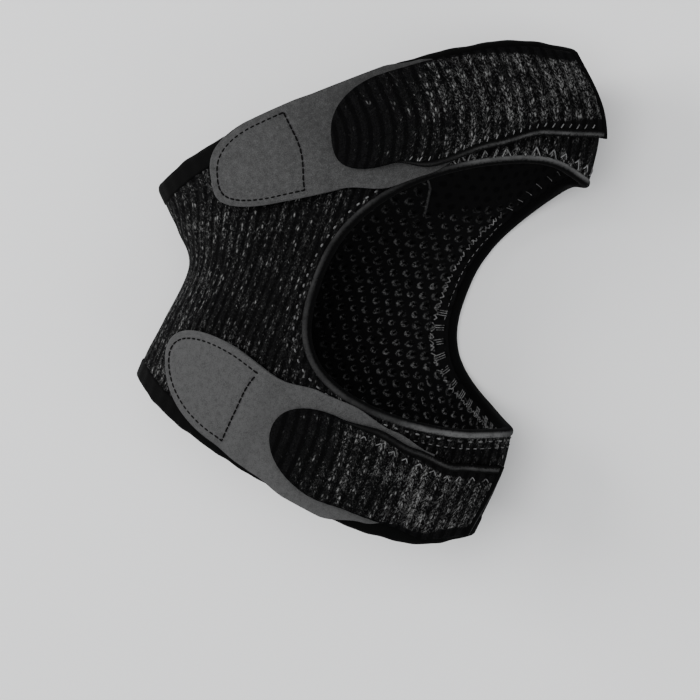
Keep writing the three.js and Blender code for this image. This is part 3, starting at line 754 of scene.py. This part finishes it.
def swept(name, path, inward, normal, section):
    """A closed ring with a section of (inward, outward) points, all in mm."""
    count, sides = len(path), len(section)
    points = path[:, None] + inward[:, None] * section[:, :1] + normal[:, None] * section[:, 1:]
    points[..., 2] = np.maximum(points[..., 2], 0)
    i, k = np.meshgrid(np.arange(count), np.arange(sides), indexing="ij")
    a, b = i * sides + k, i * sides + (k + 1) % sides
    after = (i + 1) % count * sides
    faces = np.stack([a, after + k, after + (k + 1) % sides, b], -1).reshape(-1, 4)
    u = np.stack([i, i + 1, i + 1, i], -1).reshape(-1, 4) * TAPE_STEP
    v = np.stack([k, k, k + 1, k + 1], -1).reshape(-1, 4)
    return build_mesh(name, points.reshape(-1, 3) * MM, faces, np.stack([u, v], -1) * MM)


def round_opening(angle, out=0.0):
    """Places round the opening at an angle from its near end, out mm from its edge."""
    power = 2 / OPENING_SQUARENESS
    across = np.sign(np.cos(angle)) * np.abs(np.cos(angle)) ** power
    up = np.sign(np.sin(angle)) * np.abs(np.sin(angle)) ** power
    w = OPENING_SHIFT + (OPENING_WIDTH / 2 + out) * across
    return w, OPENING_MIDDLE + (OPENING_HALF + out / CLOTH_HEIGHT) * up - dip_at(w) * (up > 0)


def oval_places(count):
    """Places round the opening's edge, evenly spread, from its far end over the top."""
    w, share = round_opening(np.linspace(-math.pi, math.pi, 2001))
    total = running_length(form(w, share)[None])[0]
    at = np.linspace(0, total[-1], count, endpoint=False)
    return np.interp(at, total, w), np.interp(at, total, share)


w, share = oval_places(460)
path, _, normal = form_frame(w, share)
along = unit(np.roll(path, -1, 0) - np.roll(path, 1, 0))
away = unit(np.cross(along, normal))
centre = path.mean(0)
if np.mean(np.einsum("ij,ij->i", away, path - centre)) < 0:
    away = -away
turn = np.linspace(0, 2 * math.pi, 20, endpoint=False)
half_width = OPENING_BINDING_WIDTH / 2
section = np.stack([
    half_width + half_width * np.sign(np.cos(turn)) * np.abs(np.cos(turn)) ** 0.8,
    WALL_MIDDLE + HALF_WALL * np.sign(np.sin(turn)) * np.abs(np.sin(turn)) ** 0.8,
], -1)
opening_roll = swept("opening_binding_roll", path, away, normal, section)
dress(opening_roll, ROLL, "opening_binding")

# Straps and tabs
# Each loop has a knitted strap sewn on at the front fold, and under its round end
# a suede tab with a hook patch on its back. The strap has a rolled binding on its
# kneecap side and a seam tape across its end.

STRAP_THICKNESS = 2.4
TAB_THICKNESS = 1.3
HOOK_THICKNESS = 1.0
OVER_RIM = 0.8
OVER_HOOK = 2.3
OVER_TAB = 2.6
HOOK_LENGTH = 33
HOOK_INSET = 3.2
HOOK_SIDE_SLANT = 8
STRAP_BINDING_WIDTH = 3
END_TAPE_WIDTH = 2.4
STRAP_LEAVES = FOLD + 4
RISE_LENGTH = 8
RISE_MARGIN = 5
STRAP_RIB = 4.3
STITCH_INSET = 2.9
SEWN_IN = 0.6

# place along the piece, inset of the outer edge as a share of the rim, and width.
OUTLINES = {
    "upper_strap": [(0, 0.48, 0.8), (0.3, 0.5, 0.84), (0.55, 0.52, 0.9), (0.8, 0.47, 0.99), (1, 0.41, 0.9)],
    "lower_strap": [(0, 0.42, 0.8), (0.3, 0.54, 0.86), (0.55, 0.85, 0.87), (0.8, 0.88, 0.95),
                    (1, 0.73, 0.98)],
    "upper_tab": [(0, 0.94, 0.62), (0.28, 0.26, 0.94), (0.43, 0.04, 1), (0.7, 0.04, 0.87), (1, 0.04, 0.82)],
    "lower_tab": [(0, 1.3, 0.56), (0.2, 0.55, 0.79), (0.4, 0.04, 0.95), (0.57, 0.04, 0.93), (0.75, 0.3, 0.82),
                  (1, 0.6, 0.8)],
}
# slant is how far back the sewn end lies at its outer edge, and end_slant how much
# further the rounded end reaches there than at its kneecap edge.
TONGUES = {
    "upper_strap": dict(side=1, start=FOLD - 0.6, slant=4.4, reach=84, rounding=24, end_slant=0, width=40),
    "lower_strap": dict(side=-1, start=FOLD + 3.4, slant=2.8, reach=73, rounding=24, end_slant=0, width=35),
    "upper_tab": dict(side=1, start=24, slant=0, reach=133.5, rounding=32, end_slant=20, width=46),
    "lower_tab": dict(side=-1, start=13, slant=0, reach=125.4, rounding=32, end_slant=0, width=46),
}


def edges_at(name, w):
    """The outer and inner edges of a strap or tab at w, in from the sleeve's edge."""
    piece, rows = TONGUES[name], np.array(OUTLINES[name])
    at = np.clip((w - piece["start"]) / (piece["reach"] - piece["rounding"] - piece["start"]), 0, 1)
    k = np.clip(np.searchsorted(rows[:, 0], at), 1, len(rows) - 1)
    t = smooth(at, rows[k - 1, 0], rows[k, 0])
    outer = RIM_WIDTH * (rows[k - 1, 1] + (rows[k, 1] - rows[k - 1, 1]) * t)
    return outer, outer + piece["width"] * (rows[k - 1, 2] + (rows[k, 2] - rows[k - 1, 2]) * t)


def slant_at(name, inset):
    """How far a strap's slanted end lies back, a distance in from its kneecap edge."""
    outer, inner = edges_at(name, np.array(float(TONGUES[name]["start"])))
    return TONGUES[name]["slant"] * inset / (inner - outer)


def hook_start(level):
    """The place round the leg of the straight side of a loop's hook patch."""
    return TONGUES[f"{level}_tab"]["reach"] - HOOK_INSET - HOOK_LENGTH


def hook_side_back(outward):
    """How far back the hook patch's straight side lies, over a tab's width."""
    return HOOK_SIDE_SLANT * (1 - outward) ** 3


def tongue_places(name, along, across, start=None, hooked=False, outer_in=0, inner_in=0, end_in=0):
    """Places at shares along a strap or tab and, from -1 to 1, across it, and how far
    out on the piece they lie, from 0 at its kneecap edge to 1."""
    side, sewn_end, slant, reach, rounding, end_slant, _ = TONGUES[name].values()
    turn = side * across * math.pi / 2
    outward = (1 + np.sin(turn)) / 2
    at_start, at_end = [
        (inner_in + (inner - outer - outer_in - inner_in) * outward) / (inner - outer)
        for outer, inner in (edges_at(name, np.array(float(w))) for w in (sewn_end, reach))
    ]
    start = sewn_end if start is None else start
    first = start + slant * at_start - (hook_side_back(at_end) if hooked else 0)
    last = reach - end_in - (rounding - end_in) * (1 - np.cos(turn)) + end_slant * (at_end - 0.5)
    w = first + (last - first) * along
    outer, inner = edges_at(name, w)
    distance = inner - inner_in + (outer + outer_in - inner + inner_in) * outward
    return w, share_in(w, side, distance), distance, at_end + 0 * w


def climb(w, to):
    """From 0 to 1, how far cloth that rises over a piece beginning at to has risen."""
    return smooth(w, to - RISE_MARGIN - RISE_LENGTH, to - RISE_MARGIN)


def strap_bottom(level, w):
    return OVER_RIM + (OVER_TAB - OVER_RIM) * climb(w, TONGUES[f"{level}_tab"]["start"])


def tab_bottom(level, w, outward):
    return OVER_RIM + (OVER_HOOK - OVER_RIM) * climb(w + hook_side_back(outward), hook_start(level))


def tongue_cloth(name, shape, columns, rows, bottom, thickness, soft, relief=None, leaves=NEVER, **insets):
    """A strap, tab or patch with softly rounded edges and end."""
    along = np.unique(np.concatenate([np.linspace(0, 1, columns), [0.985, 0.992, 0.996, 0.999]]))[:, None]
    across = np.linspace(-1, 1, rows)[None, :]
    w, share, distance, outward = tongue_places(shape, along, across, **insets)
    low = bottom(w, outward)
    middle = laid(w, share, low + thickness / 2, leaves) / MM
    to_end = running_length(middle[::-1].swapaxes(0, 1)).T[::-1]
    beside = running_length(middle)
    inside = np.minimum(np.minimum(beside, beside[:, -1:] - beside), to_end)
    edge = domed(inside, soft)
    half = thickness / 2 * (0.12 + 0.88 * edge)
    lift = relief(w, outward, inside, edge) if relief else 0
    over = laid(w, share, low + thickness / 2 + half + lift, leaves)
    under = laid(w, share, low + thickness / 2 - half, leaves)
    return closed_cloth(name, over, under, np.stack([w, distance], -1), inside=inside)


def strap_links(maker):
    """The strap's knit: broader ribs, with flecks that thin out at its round end. Its turned borders are
    plain, without flecks, a dark band that is partly painted shade where they curve over."""
    across, _ = flat_mm(maker)
    # Flecks are left off a border about 4 mm wide: a turned edge that curves over, its darkness partly
    # painted shade.
    past_shaded_turned_border = (attribute(maker, "inside") + noise(place(maker), 600, 2) * 1.4).fade(4.2, 5.6)
    return rib_knit(maker, STRAP_RIB, 7.5, across.fade(70.0, 12.0, 0.24, 1.5) * past_shaded_turned_border)


def suede_links(maker):
    """Grey microsuede: a fine nap with soft mottling, and painted light that makes it a little lighter low on
    the left.
    """
    where = place(maker)
    nap = noise(where, 2600, 3, 0.7)
    mottle = noise(where, 520, 3, 0.65)
    cloud = noise(where, 38, 2, 0.5)
    tone = (nap - 0.5) * 0.9 + mottle * 0.5 + cloud * 0.15 + 0.18
    x, y, _ = where.parts()
    # Painted light: the suede is lighter towards the lower left.
    light = (tone + (y + x) * -1.1).fade(0.25, 0.75)
    colour = light.mixed((0.028,) * 3, (0.067,) * 3)
    return looks(colour, nap * 0.6 + mottle * 0.5, 0.00022, 0.8)


def hook_links(maker):
    """Hook fastener: rows of short stiff loops."""
    across, up = flat_mm(maker)
    spot = ((across / 1.2).fract() - 0.5).abs() + ((up / 1.2).fract() - 0.5).abs()
    tone = spot.fade(0.2, 0.8).mixed((0.012,) * 3, (0.003,) * 3)
    return looks(tone, 1 - spot, 0.0004, 0.8)


STRAP_KNIT = material("strap_knit_fleck", strap_links, 0.95)
SUEDE = material("grey_suede", suede_links, 0.95, sheen=0.08)
HOOK = material("hook_tape", hook_links, 0.6)


def tab_relief(level):
    """The tab is pulled in a little along its row of stitches."""
    hook = hook_start(level)

    def lift(w, outward, inside, edge):
        w = w + hook_side_back(outward)
        row = np.maximum(np.exp(-((inside - STITCH_INSET) / 0.7) ** 2), np.exp(-((w - hook) / 0.7) ** 2))
        held = smooth(w, hook - 1.2, hook) * (inside > STITCH_INSET - 2)
        swell = 0.16 * smooth(inside, STITCH_INSET, STITCH_INSET + 6) * smooth(w, hook + 0.5, hook + 6)
        return -0.2 * row * held + swell

    return lift


def strap_relief(w, outward, inside, edge):
    return 0.1 * (np.cos(2 * math.pi * w / STRAP_RIB) - 1) * edge


def ribbon(name, level, w, share, taper=0):
    """A narrow tape on a strap's edge, with round edges of its own. w and share are
    grids along and across it. It thins out over its last taper steps."""
    t = np.linspace(0, 1, w.shape[1])[None, :]
    dome = np.sqrt(np.clip(1 - np.abs(2 * t - 1) ** 2.6, 0.02, 1))
    if taper:
        dome = dome * np.sqrt(np.clip(np.arange(len(w))[::-1, None] / taper, 0.02, 1))
    half = (STRAP_THICKNESS + PROUD - 0.1) / 2
    middle = strap_bottom(level, w) + half
    over = laid(w, share, middle + half * dome, STRAP_LEAVES)
    under = laid(w, share, middle - half * dome, STRAP_LEAVES)
    flat = np.broadcast_arrays(np.arange(len(w))[:, None] * TAPE_STEP, t * STRAP_BINDING_WIDTH)
    return closed_cloth(name, over, under, np.stack(flat, -1))


def strap_pieces(level):
    """The strap, its binding and end tape, the tab and the hook patch of one loop."""
    strap, tab = f"{level}_strap", f"{level}_tab"
    side, sewn_end, slant, reach, rounding, _, _ = TONGUES[strap].values()
    start = sewn_end + END_TAPE_WIDTH - 0.4
    knit = tongue_cloth(f"{level}_strap_knit", strap, 150, 25, lambda w, outward: strap_bottom(level, w),
                        STRAP_THICKNESS, 1.3, strap_relief, STRAP_LEAVES, start=start,
                        inner_in=STRAP_BINDING_WIDTH - SEWN_IN)

    along = np.linspace(0, 1, 160)[:, None]
    drawn_in = (STRAP_BINDING_WIDTH - SEWN_IN) * smooth(along, 0.62, 1) ** 1.5
    inset = drawn_in + (STRAP_BINDING_WIDTH - drawn_in) * np.linspace(0, 1, 11)[None, :]
    w = start + slant_at(strap, inset) + (reach - rounding + 2 - start) * along
    _, inner = edges_at(strap, w)
    roll = ribbon(f"{level}_strap_roll", level, w, share_in(w, side, inner - inset), taper=50)

    outward = np.linspace(0.995, 0.005, 60)[:, None]
    w = sewn_end + slant * outward + END_TAPE_WIDTH * np.linspace(0, 1, 9)[None, :]
    outer, inner = edges_at(strap, w)
    seam = ribbon(f"{level}_strap_seam", level, w, share_in(w, side, inner + (outer - inner) * outward))

    suede = tongue_cloth(f"{level}_suede_tab", tab, 150, 61, lambda w, outward: tab_bottom(level, w, outward),
                         TAB_THICKNESS, 0.8, tab_relief(level))
    hooks = tongue_cloth(f"{level}_hooks", tab, 40, 25, lambda w, outward: OVER_RIM + 0 * w,
                         HOOK_THICKNESS, 0.4, start=hook_start(level), hooked=True,
                         outer_in=HOOK_INSET, inner_in=HOOK_INSET, end_in=HOOK_INSET)
    ridge = UPPER_RIDGE_HIGHLIGHT if level == "upper" else LOWER_RIDGE_HIGHLIGHT
    return (
        dress(knit, STRAP_KNIT, strap),
        dress(roll, ridge, f"{strap}_binding"),
        dress(seam, END_TAPE, f"{level}_end_tape"),
        dress(suede, SUEDE, tab),
        dress(hooks, HOOK, f"{level}_hook_patch"),
    )


upper_pieces = strap_pieces("upper")
lower_pieces = strap_pieces("lower")

# Stitches
# Black lockstitch round each hook patch, light stitches beside the bindings, and
# inside, along the opening's far edge, an overlock line with a comb of bar tacks.

THREAD_SIDES = 6
# How far stitches lie off the cloth, in mm, and where those below the lining lie.
BEDDING = 0.05
UNDER = WALL_BOTTOM - BEDDING


def threads(name, points, normals, radius, finish):
    """Lengths of thread. points and normals are (lengths, points, 3), in mm."""
    around = THREAD_SIDES
    count, steps = points.shape[:2]
    tangent = unit(np.gradient(points, axis=1))
    beside = unit(np.cross(tangent, normals))
    raised = np.cross(beside, tangent)
    turn = (np.arange(around) * 2 * math.pi / around)[:, None]
    spokes = beside[:, :, None] * np.cos(turn) + raised[:, :, None] * np.sin(turn)
    rings = points[:, :, None] + radius * spokes
    rings[..., 2] = np.maximum(rings[..., 2], 0)
    base = np.arange(count)[:, None, None] * steps * around + np.arange(steps - 1)[None, :, None] * around
    k = np.arange(around)
    after = (k + 1) % around
    sides = np.stack([base + k, base + after, base + around + after, base + around + k], -1).reshape(-1, 4)
    first = np.arange(count)[:, None] * steps * around
    last = first + (steps - 1) * around
    caps = [first + [0, 3, 2, 1], first + [0, 5, 4, 3], last + [0, 1, 2, 3], last + [0, 3, 4, 5]]
    piece = build_mesh(name, rings.reshape(-1, 3) * MM, np.concatenate([sides, *caps]))
    piece.data.materials.append(finish)
    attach(piece, "root")
    return piece


def thread(name, dark, light, roughness):
    """Twisted thread whose colour varies along it."""
    def links(maker):
        twist = noise(place(maker), 5200, 2, 0.6)
        tone = twist * 0.6 + noise(place(maker), 420, 2) * 0.4
        tone = tone.fade(0.35, 0.65).mixed((dark,) * 3, (light,) * 3)
        return looks(tone, twist, 0.0001)

    return material(name, links, roughness)


BLACK_THREAD = thread("thread_black", 0.001, 0.004, 0.6)
GREY_THREAD = thread("thread_grey", 0.02, 0.2, 0.7)
WORN_THREAD = thread("thread_worn", 0.002, 0.22, 0.7)


def measured(w, share, offset, leaves):
    """Points in mm over the form, their normals, and lengths from the first point."""
    points = laid(w, share, offset, leaves) / MM
    return points, form_frame(np.maximum(w, leaves), share)[2], running_length(points[None])[0]


def sample(at, lengths, values):
    return np.stack([np.interp(at, lengths, values[:, k]) for k in range(3)], -1)


# Where the points of a stitch lie along it, in shares.
ALONG_STITCH = np.array([0, 0.2, 0.5, 0.8, 1.0])


def dashes(name, w, share, offset, pitch, dash, finish, radius):
    """A row of separate stitches along a line of places, bedded at both ends."""
    points, normals, lengths = measured(w, share, offset, NEVER)
    starts = np.arange(0.3, lengths[-1] - dash, pitch)
    at = starts[:, None] + dash * ALONG_STITCH[None, :]
    rise = np.array([-0.3, 0.0, 0.08, 0.0, -0.3])[None, :, None]
    up = unit(sample(at, lengths, normals))
    return threads(name, sample(at, lengths, points) + up * rise, up, radius, finish)


def motifs(name, w, share, offset, pitch, arms, length, finish, radius, loose=0.08, leaves=NEVER):
    """A stitch that repeats along a line of places. Each arm goes from its first place
    along the line to its second, length to the side. loose varies them by a share."""
    points, normals, lengths = measured(w, share, offset, leaves)
    draw = np.random.default_rng(5)
    starts = np.arange(1.0, lengths[-1] - 1.0, pitch)
    starts = starts + draw.uniform(-loose, loose, len(starts)) * pitch
    here, up = sample(starts, lengths, points), unit(sample(starts, lengths, normals))
    tangent = unit(sample(starts + 0.5, lengths, points) - here)
    beside = np.cross(up, tangent)
    t = ALONG_STITCH[None, :, None]
    rise = np.array([-0.25, 0.05, 0.12, 0.05, -0.25])[None, :, None]
    made = []
    for foot, tip in arms:
        reach = draw.uniform(1 - 2 * loose, 1 + 2 * loose, (len(starts), 1))
        across = (beside * length + tangent * (tip - foot)) * reach
        made.append((here + tangent * foot)[:, None] + t * across[:, None] + up[:, None] * rise)
    normals = np.repeat(np.concatenate([up] * len(arms))[:, None], len(ALONG_STITCH), 1)
    return threads(name, np.concatenate(made), normals, radius, finish)


def patch_outline(level):
    """Places round a tab's hook patch: its outer side, its round end and back."""
    line, one = np.linspace(0, 1, 90), np.ones(90)
    along = np.concatenate([line, one, line[::-1], 0 * one])
    across = np.concatenate([one, 1 - 2 * line, -one, 2 * line - 1])
    w, share, _, outward = tongue_places(f"{level}_tab", along, across, hook_start(level), True,
                                         STITCH_INSET, STITCH_INSET, STITCH_INSET)
    return w, share, outward


for level, pitch, arms in (("upper", 3.2, ((0, 1.0),)), ("lower", 5.6, ((0, -1.3), (0, 1.3)))):
    tab, strap = f"{level}_tab", f"{level}_strap"
    w, share, outward = patch_outline(level)
    top = tab_bottom(level, w, outward) + TAB_THICKNESS
    dashes(f"{level}_tab_stitches", w, share, top + BEDDING, 2.5, 1.8, BLACK_THREAD, 0.34)
    side, sewn_end, _, reach, rounding, _, _ = TONGUES[strap].values()
    w = np.linspace(sewn_end + 5, reach - rounding - 6, 200)
    _, inner = edges_at(strap, w)
    share = share_in(w, side, inner - STRAP_BINDING_WIDTH - 1.5)
    top = strap_bottom(level, w) + STRAP_THICKNESS
    motifs(f"{level}_strap_stitches", w, share, top - BEDDING, pitch, arms, 1.5,
                             GREY_THREAD, 0.2, leaves=STRAP_LEAVES)


def opening_line(start, end, out):
    """Places along part of the opening's edge, between two angles, out mm from it."""
    return round_opening(np.linspace(math.radians(start), math.radians(end), 400), out)


zigzag = motifs("opening_zigzag", *opening_line(60, 118, OPENING_BINDING_WIDTH + 4.2), BEDDING, 4.4,
                ((0, -1.3), (0, 1.1)), -2.3, GREY_THREAD, 0.24, loose=0.3)
tacks = dashes("opening_tack_stitches", *opening_line(-118, 55, OPENING_BINDING_WIDTH + 2.2), BEDDING,
               4.1, 1.1, GREY_THREAD, 0.34)
basting = dashes("opening_basting", *opening_line(-118, -60, OPENING_BINDING_WIDTH + 6.0), BEDDING,
                 2.9, 1.2, GREY_THREAD, 0.18)
slants = motifs("far_slant_stitches", *opening_line(100, 144, 6.4), UNDER, 5.4, ((0, 1.6),), 2.4,
                GREY_THREAD, 0.16, loose=0.15)
overlock = motifs("far_overlock", *opening_line(144, 262, 7.8), UNDER, 2.3, ((0, -0.9), (0, 0.9)), 1.0,
                  WORN_THREAD, 0.24, loose=0.3)
hem = dashes("far_hem_stitches", *opening_line(147, 190, 4.7), UNDER, 2.7, 1.3, WORN_THREAD, 0.14)
combs = motifs("far_comb_stitches", *opening_line(186, 260, 4.3), UNDER, 5.6,
               ((-0.9, -0.5), (0, 0.4), (0.9, 1.3)), 3.3, WORN_THREAD, 0.19, loose=0.12)

# Cloth sizes
# Each sheet's flat cut, in metres, and the trims and stitches that it carries.

for level, (knit, roll, seam, suede, hooks) in (("upper", upper_pieces), ("lower", lower_pieces)):
    strap, tab = TONGUES[f"{level}_strap"], TONGUES[f"{level}_tab"]
